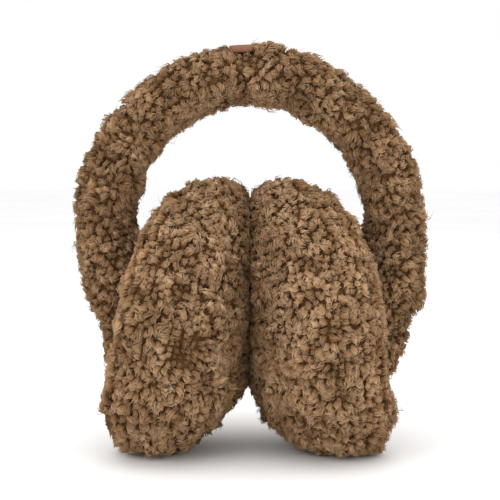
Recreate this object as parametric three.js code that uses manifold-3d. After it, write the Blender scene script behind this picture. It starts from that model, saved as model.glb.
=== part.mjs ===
// Fur earmuffs that stand upright on their two ear pads. Millimetres, +Z up, X from pad to pad, Y from
// front to back, origin on the floor midway between the pads. A curly fur sleeve covers the headband and
// runs down into both pads. Each pad is a thick ear cushion with a thinner outer cover sewn behind it,
// and a bare leather tab wraps over the crown of the band. The pile is modelled as tufts that are raised
// from each surface, so every piece is one closed solid.

import * as THREE from "three";
import { mergeVertices } from "three/addons/utils/BufferGeometryUtils.js";
import Module from "manifold-3d";

const wasm = await Module();
wasm.setup();

// Ear pads. Lengths across a pad are measured in its own frame: x outwards from the seam between its
// two layers, z up its face.
const PAD_HEIGHT = 143;
const PAD_DEPTH = 115;
const PAD_LEAN = THREE.MathUtils.degToRad(8.3);
const PAD_SWIVEL = THREE.MathUtils.degToRad(10);
const PAD_BOW = 2.2;
const PAD_CURL = 10;
const PAD_SETTLE = 4.2;
const PAD_SET_BACK = 2.7;
const CUSHION_THICKNESS = 50.5;
const CUSHION_RIM = 9;
const COVER_THICKNESS = 5.6;
const COVER_RIM = 2.3;
const COVER_INSET = 4.8;
const SEAM_GAP = 0.6;
const CONTACT_GAP = 1;

// How square each face of a pad is in profile: 2 is an ellipse, more is flatter with a tighter rim.
const CUSHION_FACE_FULLNESS = 2.8;
const COVER_FACE_FULLNESS = 1.8;
const SEAM_FULLNESS = 4.6;

// Headband sleeve: a round arch whose two arms bend a little inwards and end inside the pads.
const SLEEVE_THICKNESS = 28.8;
const SLEEVE_WIDTH = 35;
const SLEEVE_TIP = 9;
const ARM_BEND = 317;
const ARM_DROP = 80;
const ARM_SEAT_OUT = 5.8;
const ARM_SEAT_DOWN = 32.6;
const SOCKET_CLEARANCE = 0.4;

// Leather tab on the crown of the band.
const TAB_WIDTH = 13;
const TAB_LENGTH = 27;
const TAB_THICKNESS = 1.6;
const TAB_GAP = 0.4;
const TAB_OFFSET = -4.5;
const TAB_MARGIN = 5.4;
const TAB_SQUARENESS = 5;

// Pile: height of the tallest tufts over the mean fur surface, the shortest as a share of it, and depth of
// the gaps between them. On an arm the tufts have thinned to nothing at this share of its drop.
const TUFT_HEIGHT = 2.4;
const TUFT_LEAST_SHARE = 0.4;
const TUFT_GAP = 1.6;
const ARM_BARE_SHARE = 0.35;

// Sleeve size along half the band, as shares: 0 at the crown, 1 at the tip that sits in the pad.
const SLEEVE_SHAPE = [
  { along: 0, size: 0.98 },
  { along: 0.3, size: 0.99 },
  { along: 0.6, size: 1.01 },
  { along: 0.76, size: 0.98 },
  { along: 0.86, size: 0.68 },
  { along: 1, size: 0.5 },
];

// How finely each piece is divided into tufts: rings along it and columns around it.
const SLEEVE_GRID = { rings: 88, columns: 20 };
const SOCKET_GRID = { rings: 30, columns: 20 };
const CUSHION_GRID = { faceRings: 17, seamRings: 3, columns: 46 };
const COVER_GRID = { faceRings: 9, seamRings: 3, columns: 46 };
const TAB_GRID = { topRings: 4, rings: 9, columns: 24 };

// How strongly the sleeve's rings gather towards its tips, from 0 to 1.
const TIP_GATHERING = 0.18;

// The sockets are cut from this many arm drops above the tips, which is clear of the pads.
const SOCKET_START = 1.3;

const COLOURS = {
  band: { color: 0x7b5f43, roughness: 0.95, metalness: 0 },
  cushion: { color: 0x816548, roughness: 0.95, metalness: 0 },
  cover: { color: 0x785c41, roughness: 0.95, metalness: 0 },
  tab: { color: 0x8a5236, roughness: 0.6, metalness: 0 },
};

// A repeatable random number from 0 to 1 for one tuft.
function hash(seed, row, column) {
  const mixed = Math.sin(seed * 37.7 + row * 127.1 + column * 311.7) * 43758.5453;
  return mixed - Math.floor(mixed);
}

// Smooth reading of a table's column between its rows.
function readTable(table, key, at) {
  const next = Math.max(table.findIndex((row) => row.along >= at), 1);
  const [a, b] = [table[next - 1], table[next]];
  return a[key] + (b[key] - a[key]) * THREE.MathUtils.smoothstep(at, a.along, b.along);
}

// Volume inside a closed surface, negative when its faces point inwards.
function signedVolume(positions, triangles) {
  const [a, b, c] = [new THREE.Vector3(), new THREE.Vector3(), new THREE.Vector3()];
  let sixfold = 0;
  for (let i = 0; i < triangles.length; i += 3) {
    a.fromArray(positions, 3 * triangles[i]);
    b.fromArray(positions, 3 * triangles[i + 1]);
    c.fromArray(positions, 3 * triangles[i + 2]);
    sixfold += a.dot(b.cross(c));
  }
  return sixfold / 6;
}

// Triangles of a closed grid of rings between two poles, with diagonals that meet at the tufts' peaks.
function gridTriangles(rings, columns) {
  const triangles = [];
  const at = (ring, column) => 1 + (ring - 1) * columns + (column % columns);
  const farPole = 1 + (rings - 1) * columns;
  for (let column = 0; column < columns; column++) {
    triangles.push(0, at(1, column + 1), at(1, column));
    triangles.push(farPole, at(rings - 1, column), at(rings - 1, column + 1));
    for (let ring = 1; ring < rings - 1; ring++) {
      const [a, b] = [at(ring, column), at(ring, column + 1)];
      const [c, d] = [at(ring + 1, column), at(ring + 1, column + 1)];
      if ((ring + column) % 2) {
        triangles.push(a, b, c, b, d, c);
      } else {
        triangles.push(a, b, d, a, d, c);
      }
    }
  }
  return triangles;
}

// How far one point of a grid is raised as a tuft's peak or sunk as the gap beside it.
function tuftOffset(seed, ring, column) {
  const chance = hash(seed, ring, column);
  if ((ring + column) % 2) return -TUFT_GAP * chance;
  return TUFT_HEIGHT * THREE.MathUtils.lerp(TUFT_LEAST_SHARE, 1, chance);
}

// A closed tufted surface of rings between two poles. pointAt(v, angle) gives a point for v from 0 to 1,
// and tuftAt(v, angle) scales the tufts there.
function tuftedSolid({ rings, columns, pointAt, tuftAt = () => 0, seed = 0 }) {
  const positions = [...pointAt(0, 0).toArray()];
  const offsets = [0];
  for (let ring = 1; ring < rings; ring++) {
    for (let column = 0; column < columns; column++) {
      const angle = (column / columns) * 2 * Math.PI;
      positions.push(...pointAt(ring / rings, angle).toArray());
      offsets.push(tuftAt(ring / rings, angle) * tuftOffset(seed, ring, column));
    }
  }
  positions.push(...pointAt(1, 0).toArray());
  offsets.push(0);

  const triangles = gridTriangles(rings, columns);
  const geometry = new THREE.BufferGeometry();
  geometry.setAttribute("position", new THREE.Float32BufferAttribute(positions, 3));
  geometry.setIndex(signedVolume(positions, triangles) > 0 ? triangles : triangles.toReversed());
  geometry.computeVertexNormals();
  const position = geometry.getAttribute("position");
  const normal = geometry.getAttribute("normal");
  const [point, outward] = [new THREE.Vector3(), new THREE.Vector3()];
  for (let i = 0; i < position.count; i++) {
    outward.fromBufferAttribute(normal, i);
    point.fromBufferAttribute(position, i).addScaledVector(outward, offsets[i]);
    position.setXYZ(i, point.x, point.y, point.z);
  }
  return toSolid(geometry);
}

function toSolid(geometry) {
  const bare = geometry.clone();
  for (const name of Object.keys(bare.attributes)) {
    if (name !== "position") bare.deleteAttribute(name);
  }
  const merged = mergeVertices(bare, 1e-4);
  const vertProperties = new Float32Array(merged.getAttribute("position").array);
  const triVerts = new Uint32Array(merged.index.array);
  return new wasm.Manifold(new wasm.Mesh({ numProp: 3, vertProperties, triVerts }));
}

function toMesh(name, solid, finish) {
  const mesh = solid.getMesh();
  const geometry = new THREE.BufferGeometry();
  geometry.setAttribute("position", new THREE.BufferAttribute(mesh.vertProperties, mesh.numProp));
  geometry.setIndex(new THREE.BufferAttribute(mesh.triVerts, 1));
  geometry.computeVertexNormals();
  const made = new THREE.Mesh(geometry, new THREE.MeshStandardMaterial(finish));
  made.name = name;
  return made;
}

// The two layers of a pad. Each goes from its fur face through its widest ring, the rim, to the flat
// seam face that it shares with the other layer.
const CUSHION = {
  ...CUSHION_GRID,
  face: -CUSHION_THICKNESS,
  rim: -CUSHION_RIM,
  seam: -SEAM_GAP / 2,
  faceFullness: CUSHION_FACE_FULLNESS,
  inset: 0,
};
const COVER = {
  ...COVER_GRID,
  face: COVER_THICKNESS,
  rim: COVER_RIM,
  seam: SEAM_GAP / 2,
  faceFullness: COVER_FACE_FULLNESS,
  inset: COVER_INSET,
};

// A layer's profile at v from 0 at the middle of its fur face to 1 at the middle of its seam face:
// x across the pad, and the share of the pad's outline that is reached there.
function layerProfile(layer, v) {
  const ring = v * (layer.faceRings + layer.seamRings);
  const onFace = ring <= layer.faceRings;
  const share = onFace ? ring / layer.faceRings : (layer.faceRings + layer.seamRings - ring) / layer.seamRings;
  const end = onFace ? layer.face : layer.seam;
  const power = 2 / (onFace ? layer.faceFullness : SEAM_FULLNESS);
  const turn = (share * Math.PI) / 2;
  const out = Math.max(Math.cos(turn), 0) ** power;
  return { x: layer.rim + (end - layer.rim) * out, reach: Math.sin(turn) ** power };
}

// A point of the right pad's own frame carried into place. Both ends bow inwards, the top curls further
// in while the foot spreads outwards, and the whole pad is swivelled and leans inwards.
function leanPad(x, y, z, lift) {
  const share = z / (PAD_HEIGHT / 2);
  return new THREE.Vector3(x - PAD_BOW * share ** 2 - PAD_CURL * share ** 3, y, z)
    .applyAxisAngle(new THREE.Vector3(0, 0, 1), PAD_SWIVEL)
    .applyAxisAngle(new THREE.Vector3(0, 1, 0), -PAD_LEAN)
    .add(new THREE.Vector3(CUSHION_THICKNESS, PAD_SET_BACK, lift));
}

function layerPoint(layer, v, angle, lift) {
  const { x, reach } = layerProfile(layer, v);
  const y = reach * (PAD_DEPTH / 2 - layer.inset) * Math.cos(angle);
  const z = reach * (PAD_HEIGHT / 2 - layer.inset) * Math.sin(angle);
  return leanPad(x, y, z, lift);
}

// How high the pad's middle stands, so that its foot settles a little into the floor.
function padLift() {
  const steps = 60;
  let lowest = 0;
  for (let i = 0; i <= steps; i++) {
    lowest = Math.min(lowest, layerPoint(CUSHION, i / steps, -Math.PI / 2, 0).z);
  }
  return -lowest - PAD_SETTLE;
}
const PAD_LIFT = padLift();

// The arm's tip sits in the pad, and the arch's radius and height follow from where that is.
const ARM_TIP = leanPad(ARM_SEAT_OUT, 0, -ARM_SEAT_DOWN, PAD_LIFT);
const ARM_SWEEP = Math.asin(ARM_DROP / ARM_BEND);
const ARCH_RADIUS = ARM_TIP.x + ARM_BEND * (1 - Math.cos(ARM_SWEEP));
const ARCH_HEIGHT = ARM_TIP.z + ARM_DROP;
const QUARTER_ARCH = (ARCH_RADIUS * Math.PI) / 2;
const HALF_BAND = QUARTER_ARCH + ARM_BEND * ARM_SWEEP;

// A point of the band's centreline at distance s from the crown, and the outward direction there.
function bandFrame(s) {
  const side = Math.sign(s) || 1;
  const beyond = Math.abs(s) - QUARTER_ARCH;
  if (beyond <= 0) {
    const turn = s / ARCH_RADIUS;
    const outward = new THREE.Vector3(Math.sin(turn), 0, Math.cos(turn));
    const centre = new THREE.Vector3(0, 0, ARCH_HEIGHT).addScaledVector(outward, ARCH_RADIUS);
    return { outward, centre };
  }
  const turn = beyond / ARM_BEND;
  const outward = new THREE.Vector3(side * Math.cos(turn), 0, -Math.sin(turn));
  const x = side * (ARCH_RADIUS - ARM_BEND * (1 - Math.cos(turn)));
  return { outward, centre: new THREE.Vector3(x, 0, ARCH_HEIGHT - ARM_BEND * Math.sin(turn)) };
}

// A point of the fur sleeve's mean surface, pushed out by grow.
function sleevePoint(s, angle, grow = 0) {
  const { outward, centre } = bandFrame(s);
  const along = Math.min(Math.abs(s) / HALF_BAND, 1);
  const intoTip = THREE.MathUtils.clamp((Math.abs(s) - HALF_BAND + SLEEVE_TIP) / SLEEVE_TIP, 0, 1);
  const size = readTable(SLEEVE_SHAPE, "size", along) * Math.sqrt(1 - intoTip * intoTip);
  const up = (SLEEVE_THICKNESS / 2) * size + grow;
  const across = (SLEEVE_WIDTH / 2) * size + grow;
  const sideways = new THREE.Vector3(0, across * Math.sin(angle), 0);
  return centre.addScaledVector(outward, up * Math.cos(angle)).add(sideways);
}

// The sleeve's mean radius at the crown, over which the tab is bent.
const CROWN_RADIUS = ((SLEEVE_WIDTH + SLEEVE_THICKNESS) / 4) * SLEEVE_SHAPE[0].size;

function isUnderTab(s, angle) {
  const across = CROWN_RADIUS * Math.atan2(Math.sin(angle), Math.cos(angle));
  const beside = Math.abs(s - TAB_OFFSET) > TAB_WIDTH / 2 + TAB_MARGIN;
  return !beside && Math.abs(across) < TAB_LENGTH / 2 + TAB_MARGIN;
}

// Distance from the crown of a ring: rings gather at the tips so that they close as smooth domes.
function sleeveStation(v) {
  const even = 2 * v - 1;
  const gathered = Math.sin((even * Math.PI) / 2);
  return HALF_BAND * THREE.MathUtils.lerp(even, gathered, TIP_GATHERING);
}

// Tufts thin out down the arms, where the pads' fur covers them.
function sleevePile(s) {
  const bare = HALF_BAND - ARM_DROP * ARM_BARE_SHARE;
  return 1 - THREE.MathUtils.smoothstep(Math.abs(s), HALF_BAND - ARM_DROP, bare);
}

function makeSleeve() {
  return tuftedSolid({
    ...SLEEVE_GRID,
    seed: 1,
    pointAt: (v, angle) => sleevePoint(sleeveStation(v), angle),
    tuftAt: (v, angle) => {
      const s = sleeveStation(v);
      return isUnderTab(s, angle) ? 0 : sleevePile(s);
    },
  });
}

// The room that the right arm takes up in its pad: its own form, tufts and all, with a clearance round it.
function makeSocketTool() {
  const start = HALF_BAND - ARM_DROP * SOCKET_START;
  const length = HALF_BAND + SOCKET_CLEARANCE - start;
  return tuftedSolid({
    ...SOCKET_GRID,
    pointAt: (v, angle) => {
      const s = start + length * v;
      if (v === 0 || v === 1) return bandFrame(s).centre;
      return sleevePoint(s, angle, SOCKET_CLEARANCE + TUFT_HEIGHT * sleevePile(s));
    },
  });
}

// The room a pad may fill: above the floor and on its own side of the middle.
function padRoom(side) {
  const far = PAD_HEIGHT * 2;
  const box = new THREE.BoxGeometry(far, far, far);
  return toSolid(box.translate(side * (far / 2 + CONTACT_GAP / 2), 0, far / 2));
}

// Tufts stand on a layer's fur face and round its rim, and not between the layers.
function layerPile(layer, v) {
  const ring = v * (layer.faceRings + layer.seamRings);
  return ring <= layer.faceRings ? 1 : 0;
}

function makeLayer(layer, side, seed) {
  const solid = tuftedSolid({
    rings: layer.faceRings + layer.seamRings,
    columns: layer.columns,
    seed,
    pointAt: (v, angle) => {
      const point = layerPoint(layer, v, angle, PAD_LIFT);
      return point.setX(point.x * side);
    },
    tuftAt: (v) => layerPile(layer, v),
  });
  return solid.intersect(padRoom(side));
}

// The tab: a rounded oblong bent over the sleeve, from the middle of its top to that of its underside.
function makeTab() {
  const { topRings, rings } = TAB_GRID;
  return tuftedSolid({
    ...TAB_GRID,
    pointAt: (v, angle) => {
      const share = (Math.min(v, 1 - v) * rings) / topRings;
      const [c, s] = [Math.cos(angle), Math.sin(angle)];
      const power = TAB_SQUARENESS;
      const square = share / (Math.abs(c) ** power + Math.abs(s) ** power) ** (1 / power);
      const along = TAB_OFFSET + (square * c * TAB_WIDTH) / 2;
      const turn = (square * s * TAB_LENGTH) / 2 / CROWN_RADIUS;
      return sleevePoint(along, turn, TAB_GAP + (v < 0.5 ? TAB_THICKNESS : 0));
    },
  });
}

const earmuffs = new THREE.Group();
earmuffs.add(toMesh("headband_sleeve", makeSleeve(), COLOURS.band));
earmuffs.add(toMesh("crown_tab", makeTab(), COLOURS.tab));

const rightSocket = makeSocketTool();
const leftSocket = rightSocket.mirror([1, 0, 0]);
const pads = [
  { name: "left", side: -1, seed: 10, socket: leftSocket },
  { name: "right", side: 1, seed: 20, socket: rightSocket },
];
for (const { name, side, seed, socket } of pads) {
  const cushion = makeLayer(CUSHION, side, seed).subtract(socket);
  const cover = makeLayer(COVER, side, seed + 1).subtract(socket);
  earmuffs.add(toMesh(`${name}_ear_cushion`, cushion, COLOURS.cushion));
  earmuffs.add(toMesh(`${name}_outer_cover`, cover, COLOURS.cover));
}

export default earmuffs;
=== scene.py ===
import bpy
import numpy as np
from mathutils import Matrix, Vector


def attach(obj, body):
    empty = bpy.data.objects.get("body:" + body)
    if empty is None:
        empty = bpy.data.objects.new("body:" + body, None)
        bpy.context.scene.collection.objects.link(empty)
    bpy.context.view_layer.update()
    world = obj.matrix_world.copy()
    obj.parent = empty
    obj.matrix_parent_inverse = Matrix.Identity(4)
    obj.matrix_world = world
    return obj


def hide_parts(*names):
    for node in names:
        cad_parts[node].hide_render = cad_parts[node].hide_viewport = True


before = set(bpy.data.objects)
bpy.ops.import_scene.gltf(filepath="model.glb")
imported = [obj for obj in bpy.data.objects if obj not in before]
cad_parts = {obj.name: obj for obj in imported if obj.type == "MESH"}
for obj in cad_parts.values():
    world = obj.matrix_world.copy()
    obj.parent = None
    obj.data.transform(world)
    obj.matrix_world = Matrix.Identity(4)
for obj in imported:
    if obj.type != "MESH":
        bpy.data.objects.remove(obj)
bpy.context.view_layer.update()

# %% [markdown]
# Fur earmuffs that stand on their two pads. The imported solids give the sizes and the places. This script
# dresses them: a backing for each fur piece, thousands of small curls planted on it, thin strands over
# the curls, and a leather tab on the crown. Every step is a surface worked out with numpy, so that a
# reader can follow where each point comes from.

MM = 0.001

# %% [markdown]
# The camera comes first, because everything is judged through it. The photograph looks at the earmuffs
# from the front and a little above. A long lens keeps the arch from bulging. The photograph is square and
# 250 mm of the object's middle plane fill it, and the focal length follows from that and the distance.

# %% Camera
CAMERA_DISTANCE = 620 * MM
CAMERA_ELEVATION = np.radians(4)
CAMERA_AIM = Vector((0, 0, 101.2 * MM))
FRAME_WIDTH = 250 * MM


def add_camera():
    """Places the camera on a circle round the aim and returns it."""
    data = bpy.data.cameras.new("photo_camera")
    data.sensor_width = 36
    data.lens = data.sensor_width * CAMERA_DISTANCE / FRAME_WIDTH
    camera = bpy.data.objects.new("photo_camera", data)
    bpy.context.scene.collection.objects.link(camera)
    back = Vector((0, -np.cos(CAMERA_ELEVATION), np.sin(CAMERA_ELEVATION)))
    camera.location = CAMERA_AIM + back * CAMERA_DISTANCE
    camera.rotation_euler = (-back).to_track_quat("-Z", "Y").to_euler()
    bpy.context.scene.camera = camera
    return camera


print("lens in mm:", round(add_camera().data.lens, 1))

# %% [markdown]
# The studio is a pale floor that runs past the view and a white world. Three large soft lights stand for
# a softbox overhead, one at the front left and a weaker one at the right, so that the curls get a light
# side and a dark side without hard shadows.

# %% Studio
WORLD_STRENGTH = 1.0
LIGHTS = [
    {"name": "overhead", "from": (0.0, -0.25, 1.1), "size": 1.0, "power": 4},
    {"name": "front_left", "from": (-0.7, -0.9, 0.7), "size": 0.8, "power": 3.6},
    {"name": "front_right", "from": (0.9, -0.8, 0.4), "size": 0.9, "power": 2.4},
]


def add_light(name, place, size, power):
    """An area light at place that looks at the camera's aim."""
    data = bpy.data.lights.new(name, "AREA")
    data.shape = "DISK"
    data.size = size
    data.energy = power
    light = bpy.data.objects.new(name, data)
    bpy.context.scene.collection.objects.link(light)
    light.location = Vector(place)
    light.rotation_euler = (CAMERA_AIM - light.location).to_track_quat("-Z", "Y").to_euler()
    return light


for row in LIGHTS:
    add_light(row["name"], row["from"], row["size"], row["power"])
world = bpy.data.worlds.new("studio")
world.use_nodes = True
world.node_tree.nodes["Background"].inputs["Color"].default_value = (1, 1, 1, 1)
world.node_tree.nodes["Background"].inputs["Strength"].default_value = WORLD_STRENGTH
bpy.context.scene.world = world
bpy.context.scene.view_settings.view_transform = "Standard"
print("lights:", [row["name"] for row in LIGHTS])

# %% [markdown]
# A material is a graph of nodes, and its maths reads best as ordinary expressions. One small class wraps
# a node's output, so that `1 - mask` or `streak * 0.3` adds the Math nodes by itself.

# %% A wrapper for shader maths
class Number:
    """A number that varies over a surface. Arithmetic on it adds Math nodes."""

    def __init__(self, shader, socket):
        self.shader = shader
        self.socket = socket

    def math(self, operation, *values):
        return self.shader.node("ShaderNodeMath", {"operation": operation}, values)

    def __add__(self, other):
        return self.math("ADD", self, other)

    def __radd__(self, other):
        return self.math("ADD", other, self)

    def __sub__(self, other):
        return self.math("SUBTRACT", self, other)

    def __rsub__(self, other):
        return self.math("SUBTRACT", other, self)

    def __mul__(self, other):
        return self.math("MULTIPLY", self, other)

    def __rmul__(self, other):
        return self.math("MULTIPLY", other, self)


class Shader:
    """A material whose Principled shader has fixed finish values and gets its colours from nodes."""

    def __init__(self, name, **finish):
        self.material = bpy.data.materials.new(name)
        self.material.use_nodes = True
        self.tree = self.material.node_tree
        self.surface = self.tree.nodes["Principled BSDF"]
        for key, value in finish.items():
            self.surface.inputs[key.replace("_", " ")].default_value = value

    def put(self, socket, value):
        """Gives a socket a value or links it to another node's output."""
        if isinstance(value, Number):
            self.tree.links.new(value.socket, socket)
        else:
            socket.default_value = value

    def node(self, kind, settings=None, values=(), output=0):
        """Adds a node: its settings first, then values or links by socket place or by socket name."""
        made = self.tree.nodes.new(kind)
        for key, value in (settings or {}).items():
            if key == "stops":
                fill_ramp(made.color_ramp, value)
            else:
                setattr(made, key, value)
        pairs = values.items() if isinstance(values, dict) else enumerate(values)
        for key, value in pairs:
            self.put(made.inputs[key], value)
        return Number(self, made.outputs[output])

    def finish(self, **values):
        """Links or sets sockets of the Principled shader and returns the material."""
        for key, value in values.items():
            self.put(self.surface.inputs[key.replace("_", " ")], value)
        return self.material


def fill_ramp(ramp, stops):
    """Sets a colour ramp's stops from rows of a place and a linear colour."""
    while len(ramp.elements) < len(stops):
        ramp.elements.new(1)
    for element, (place, colour) in zip(ramp.elements, stops):
        element.position = place
        element.color = (*colour, 1)


def linear(red, green, blue):
    """An ordinary screen colour of 0 to 255 as linear light, by the sRGB curve."""
    share = np.array([red, green, blue]) / 255
    return tuple(np.where(share <= 0.04045, share / 12.92, ((share + 0.055) / 1.055) ** 2.4))


print("a mid brown as linear light:", [round(float(c), 3) for c in linear(122, 95, 69)])

# %% [markdown]
# The floor is part of the studio and not of the object. It is nearly white, and a very faint mottling
# keeps it from looking like a flat card.

# %% Floor
FLOOR_REACH = 6.0


def add_floor():
    """A square floor under the object's feet."""
    mesh = bpy.data.meshes.new("studio_floor")
    r = FLOOR_REACH
    mesh.from_pydata([(-r, -r, 0), (r, -r, 0), (r, r, 0), (-r, r, 0)], [], [(0, 1, 2, 3)])
    floor = bpy.data.objects.new("studio_floor", mesh)
    bpy.context.scene.collection.objects.link(floor)
    shader = Shader("studio_floor", Roughness=0.9)
    place = shader.node("ShaderNodeTexCoord", output="Object")
    cloud = shader.node("ShaderNodeTexNoise", values={"Vector": place, "Scale": 3.0})
    pale = [(0.3, linear(250, 250, 250)), (0.7, linear(254, 254, 254))]
    colour = shader.node("ShaderNodeValToRGB", {"stops": pale}, [cloud])
    mesh.materials.append(shader.finish(Base_Color=colour))
    return floor


print("floor:", add_floor().name)

# %% [markdown]
# The shapes follow the solids. Each pad leans inwards against the other one, bows a little and is turned
# about its upright axis. The sizes below are the real ones in millimetres, and everything else is worked
# out from them.

# %% Sizes of the pads
PAD_HEIGHT = 143 * MM
PAD_DEPTH = 115 * MM
PAD_LEAN = np.radians(8.3)
PAD_SWIVEL = np.radians(10)
PAD_BOW = 2.2 * MM
PAD_CURL = 10 * MM
PAD_SETTLE = 4.2 * MM
PAD_SET_BACK = 2.7 * MM
CUSHION_THICKNESS = 50.5 * MM
CONTACT_GAP = 1 * MM
SEAM_GAP = 0.6 * MM
SEAM_FULLNESS = 4.6
CUSHION = {
    "face": -CUSHION_THICKNESS,
    "rim": -9 * MM,
    "seam": -SEAM_GAP / 2,
    "fullness": 2.8,
    "inset": 0,
    "face_share": 0.85,
}
COVER = {
    "face": 5.6 * MM,
    "rim": 2.3 * MM,
    "seam": SEAM_GAP / 2,
    "fullness": 1.8,
    "inset": 4.8 * MM,
    "face_share": 0.75,
}


def turned(points, lean, swivel):
    """Points turned about Z by swivel and then about Y by lean, as the pads are."""
    x, y, z = np.moveaxis(points, -1, 0)
    x, y = x * np.cos(swivel) - y * np.sin(swivel), x * np.sin(swivel) + y * np.cos(swivel)
    x, z = x * np.cos(lean) - z * np.sin(lean), x * np.sin(lean) + z * np.cos(lean)
    return np.stack([x, y, z], -1)


def pad_place(x, y, z, lift):
    """A point of the right pad's own frame in its place.

    The pad's height share h runs from -1 at the foot to 1 at the top. x is moved by -bow h^2 - curl h^3,
    which bows both ends in, and curls the top in while the foot spreads. Then the pad is turned and set on
    the floor.
    """
    h = z / (PAD_HEIGHT / 2)
    bent = np.stack([x - PAD_BOW * h**2 - PAD_CURL * h**3, y, z], -1)
    return turned(bent, PAD_LEAN, PAD_SWIVEL) + np.array([CUSHION_THICKNESS, PAD_SET_BACK, lift])


def layer_profile(layer, v):
    """x across the pad and the reach towards its outline, at v from the fur face's middle to the seam's.

    Both faces are quarters of a rounded square: reach = sin^(2/n) and x = rim + (end - rim) cos^(2/n), with
    n the fullness, so the two faces meet at the rim with reach 1.
    """
    on_face = v <= layer["face_share"]
    share = np.where(on_face, v / layer["face_share"], (1 - v) / (1 - layer["face_share"]))
    power = 2 / np.where(on_face, layer["fullness"], SEAM_FULLNESS)
    end = np.where(on_face, layer["face"], layer["seam"])
    turn = np.clip(share, 0, 1) * np.pi / 2
    out = np.clip(np.cos(turn), 0, 1) ** power
    return layer["rim"] + (end - layer["rim"]) * out, np.sin(turn) ** power


def layer_surface(layer, v, angle, lift):
    """The mean fur surface of one layer of the right pad, as an ellipse of rings round its middle."""
    x, reach = layer_profile(layer, v)
    y = reach * (PAD_DEPTH / 2 - layer["inset"]) * np.cos(angle)
    z = reach * (PAD_HEIGHT / 2 - layer["inset"]) * np.sin(angle)
    return pad_place(x, y, z, lift)


LOWEST = layer_surface(CUSHION, np.linspace(0, 1, 61), -np.pi / 2, 0)[:, 2].min()
PAD_LIFT = -LOWEST - PAD_SETTLE
print("the pads' middle stands at", round(PAD_LIFT / MM, 1), "mm")

# %% [markdown]
# The headband is an arch whose arms bend a little inwards and end inside the pads. The arms' tips sit in
# the pads, so the radius and the height of the arch follow from the pads, as on the real thing.

# %% Sizes of the headband
SLEEVE_THICKNESS = 28.8 * MM
SLEEVE_WIDTH = 35 * MM
SLEEVE_TIP = 9 * MM
ARM_BEND = 317 * MM
ARM_DROP = 80 * MM
ARM_TIP = pad_place(5.8 * MM, 0, -32.6 * MM, PAD_LIFT)
ARM_SWEEP = np.arcsin(ARM_DROP / ARM_BEND)
ARCH_RADIUS = ARM_TIP[0] + ARM_BEND * (1 - np.cos(ARM_SWEEP))
ARCH_HEIGHT = ARM_TIP[2] + ARM_DROP
QUARTER_ARCH = ARCH_RADIUS * np.pi / 2
HALF_BAND = QUARTER_ARCH + ARM_BEND * ARM_SWEEP
SLEEVE_ALONG = [0, 0.3, 0.6, 0.76, 0.86, 1]
SLEEVE_SIZE = [0.98, 0.99, 1.01, 0.98, 0.68, 0.5]


def smooth_steps(x, places, values):
    """A table read with a smooth step between its rows: t^2 (3 - 2t)."""
    row = np.clip(np.searchsorted(places, x, side="right") - 1, 0, len(places) - 2)
    places, values = np.array(places), np.array(values)
    t = np.clip((x - places[row]) / (places[row + 1] - places[row]), 0, 1)
    return values[row] + (values[row + 1] - values[row]) * t * t * (3 - 2 * t)


def band_line(s):
    """The band's centreline at distance s from the crown, and the outward direction there.

    Up to a quarter of the arch it is a circle of the arch's radius. Beyond it the arm is an arc of a much
    larger circle that starts straight down.
    """
    side = np.where(s < 0, -1, 1)
    beyond = np.abs(s) - QUARTER_ARCH
    turn = np.where(beyond <= 0, np.abs(s) / ARCH_RADIUS, np.pi / 2)
    arm = np.where(beyond > 0, beyond / ARM_BEND, 0)
    outward = np.stack([side * np.sin(turn) * np.cos(arm), 0 * s, np.cos(turn) - np.sin(arm)], -1)
    x = side * (ARCH_RADIUS * np.sin(turn) - ARM_BEND * (1 - np.cos(arm)))
    z = ARCH_HEIGHT + ARCH_RADIUS * np.cos(turn) - ARM_BEND * np.sin(arm)
    return np.stack([x, 0 * s, z], -1), outward


def sleeve_surface(s, angle, grow=0.0):
    """The sleeve's mean surface: an ellipse round the centreline that closes as a dome at each tip."""
    centre, outward = band_line(s)
    tip = np.clip((np.abs(s) - HALF_BAND + SLEEVE_TIP) / SLEEVE_TIP, 0, 1)
    size = smooth_steps(np.abs(s) / HALF_BAND, SLEEVE_ALONG, SLEEVE_SIZE) * np.sqrt(1 - tip * tip)
    up = (SLEEVE_THICKNESS / 2 * size + grow) * np.cos(angle)
    across = (SLEEVE_WIDTH / 2 * size + grow) * np.sin(angle)
    return centre + outward * up[..., None] + across[..., None] * np.array([0, 1, 0])


print("arch radius", round(ARCH_RADIUS / MM, 1), "mm, half band", round(HALF_BAND / MM, 1), "mm")

# %% [markdown]
# Each surface is kept as a grid of points: rings from one pole to the other, and columns round it. The
# same grid makes the backing's mesh and tells where each curl is rooted, so the two can't drift apart.

# %% Grids of points
def surface_grid(shape, rings, columns):
    """Points of shape(v, angle) on rings + 1 by columns + 1 places. The last column repeats the first."""
    turns = np.linspace(0, 2 * np.pi, columns + 1)
    v, angle = np.meshgrid(np.linspace(0, 1, rings + 1), turns, indexing="ij")
    return shape(v, angle)


def grid_normals(grid):
    """Outward directions of a closed grid: the cross product of its differences both ways, unit length."""
    along = np.gradient(grid, axis=0)
    wrapped = np.concatenate([grid[:, -2:-1], grid, grid[:, 1:2]], 1)
    around = (wrapped[:, 2:] - wrapped[:, :-2]) / 2
    normal = np.cross(along, around)
    normal[0] = normal[1].mean(0)
    normal[-1] = normal[-2].mean(0)
    normal /= np.linalg.norm(normal, axis=-1, keepdims=True) + 1e-12
    middle = grid.reshape(-1, 3).mean(0)
    outward = np.sign(np.sum(normal * (grid - middle), -1).sum())
    return normal * outward, outward


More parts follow.
